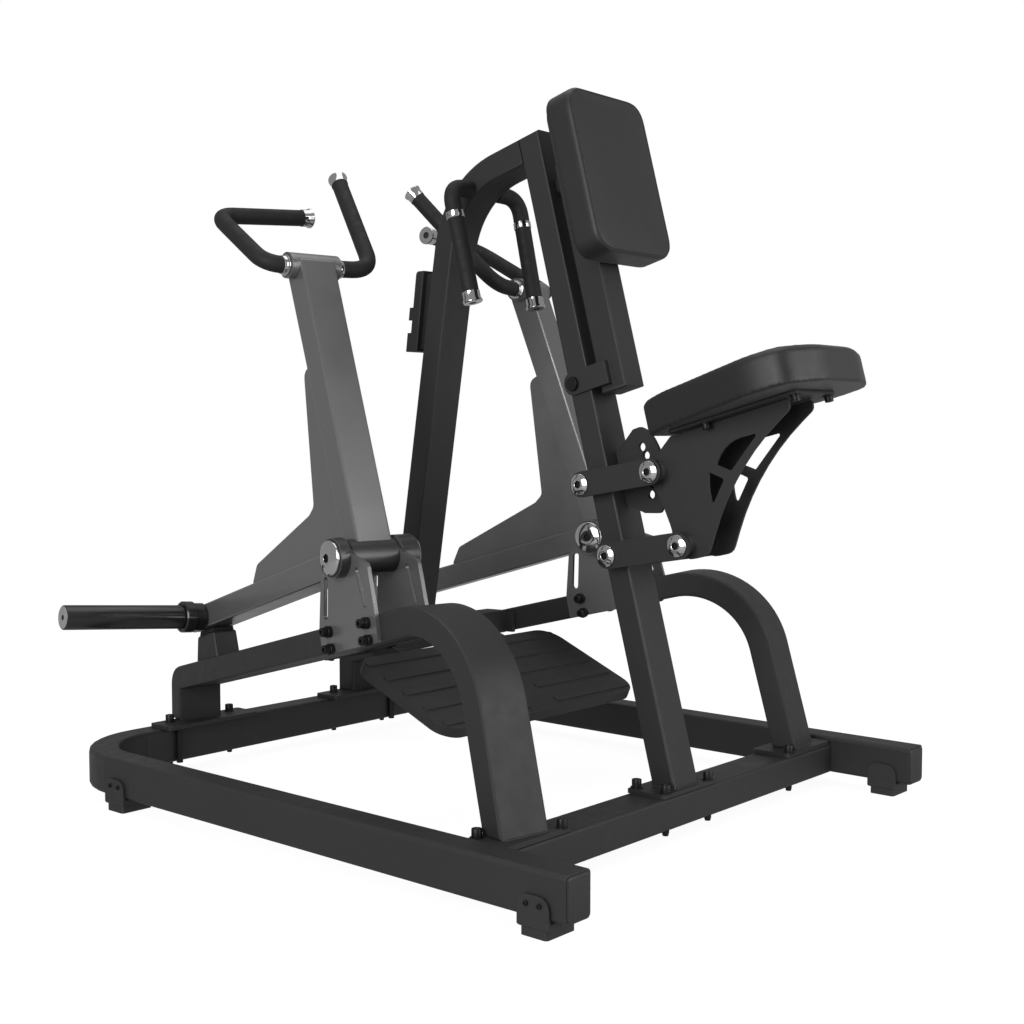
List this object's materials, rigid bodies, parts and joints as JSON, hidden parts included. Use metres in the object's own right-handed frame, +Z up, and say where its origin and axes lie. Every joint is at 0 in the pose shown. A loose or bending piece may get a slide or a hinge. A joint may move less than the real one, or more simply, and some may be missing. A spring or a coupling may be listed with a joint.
{
  "type": "seated row machine",
  "caption": "Plate-loaded seated row machine with swinging levers, weight sleeves, padded chest support, foot plate and a seat on a pin-set linkage.",
  "frame": {"origin": "on the floor, at the centre of the machine's length and width", "axes": "+X to the user's right, +Y the way the user faces, from the seat towards the levers' weight arms, +Z up"},
  "size_m": [1.1938, 1.4714, 1.3649],
  "materials": {
    "frame_paint": "fine-textured black powder coat, satin",
    "lever_paint": "smooth graphite-grey paint with a fine metallic flake, satin",
    "grip_rubber": "matt black rubber",
    "chrome": "polished chrome plate",
    "steel": "zinc-plated steel",
    "plastic": "moulded black plastic, matt",
    "upholstery": "black synthetic leather with a fine grain"
  },
  "bodies": {
    "root": {"left_rail": "frame_paint", "left_corner_bend": "frame_paint", "left_arch": "frame_paint", "left_bumper_post": "frame_paint", "right_rail": "frame_paint", "right_corner_bend": "frame_paint", "right_arch": "frame_paint", "right_bumper_post": "frame_paint", "front_crossbar": "frame_paint", "rear_crossbar": "frame_paint", "mast": "frame_paint", "front_leg": "frame_paint", "leg_crossmember": "frame_paint", "index_sector": "frame_paint", "foot_plate": "frame_paint", "left_outer_pivot_plate": "lever_paint", "left_inner_pivot_plate": "lever_paint", "right_outer_pivot_plate": "lever_paint", "right_inner_pivot_plate": "lever_paint", "left_fixed_grip": "grip_rubber", "left_bumper_pad": "grip_rubber", "right_fixed_grip": "grip_rubber", "right_bumper_pad": "grip_rubber", "chest_bumper": "grip_rubber", "left_upper_link_bolt": "chrome", "left_lower_link_bolt": "chrome", "right_upper_link_bolt": "chrome", "right_lower_link_bolt": "chrome", "chest_pin": "steel", "left_rear_foot": "plastic", "left_front_foot": "plastic", "right_rear_foot": "plastic", "right_front_foot": "plastic", "accessory_holder": "plastic"},
    "left_lever": {"left_lever": "lever_paint", "left_pivot_shaft": "chrome", "left_weight_sleeve": "frame_paint", "left_overhand_grip": "grip_rubber", "left_upright_grip": "grip_rubber"},
    "right_lever": {"right_lever": "lever_paint", "right_pivot_shaft": "chrome", "right_weight_sleeve": "frame_paint", "right_overhand_grip": "grip_rubber", "right_upright_grip": "grip_rubber"},
    "chest_support": {"chest_carrier": "frame_paint", "chest_backing_plate": "frame_paint", "chest_pad": "upholstery"},
    "upper_link": {"left_upper_link": "frame_paint", "right_upper_link": "frame_paint", "upper_seat_shaft": "chrome", "pop_pin_barrel": "steel"},
    "lower_link": {"left_lower_link": "frame_paint", "right_lower_link": "frame_paint", "lower_seat_shaft": "chrome"},
    "seat": {"left_seat_bracket": "frame_paint", "right_seat_bracket": "frame_paint", "seat_plate": "frame_paint", "seat_pad": "upholstery"},
    "pop_pin": {"pop_pin": "plastic"}
  },
  "joints": [
    {"name": "left_lever_pivot", "type": "hinge", "parent": "root", "child": "left_lever", "pos_m": [-0.35573, 0.02568, 0.513], "axis": [0.9848, -0.1736, 0], "range_deg": [0, 45]},
    {"name": "right_lever_pivot", "type": "hinge", "parent": "root", "child": "right_lever", "pos_m": [0.35573, 0.02568, 0.513], "axis": [0.9848, 0.1736, 0], "range_deg": [0, 45]},
    {"name": "chest_support_tilt", "type": "hinge", "parent": "root", "child": "chest_support", "pos_m": [0, -0.19582, 0.828], "axis": [1, 0, 0], "range_deg": [0, 8]},
    {"name": "seat_height", "type": "hinge", "parent": "root", "child": "upper_link", "pos_m": [0, -0.23382, 0.641], "axis": [-1, 0, 0], "range_deg": [-18.2, 27.3]},
    {"name": "lower_link_swing", "type": "hinge", "parent": "root", "child": "lower_link", "pos_m": [0, -0.29582, 0.512], "axis": [-1, 0, 0], "range_deg": [-19, 28]},
    {"name": "seat_level", "type": "hinge", "parent": "upper_link", "child": "seat", "pos_m": [0, -0.38982, 0.6675], "axis": [-1, 0, 0], "range_deg": [-28, 19]},
    {"name": "pop_pin_pull", "type": "slide", "parent": "upper_link", "child": "pop_pin", "axis": [1, 0, 0], "range_m": [0, 0.012], "stiffness_N_per_m": 900, "springref_m": -0.01}
  ],
  "couplings": [
    {"joint": "lower_link_swing", "follows": "seat_height", "ratio": 1},
    {"joint": "seat_level", "follows": "seat_height", "ratio": -1}
  ]
}
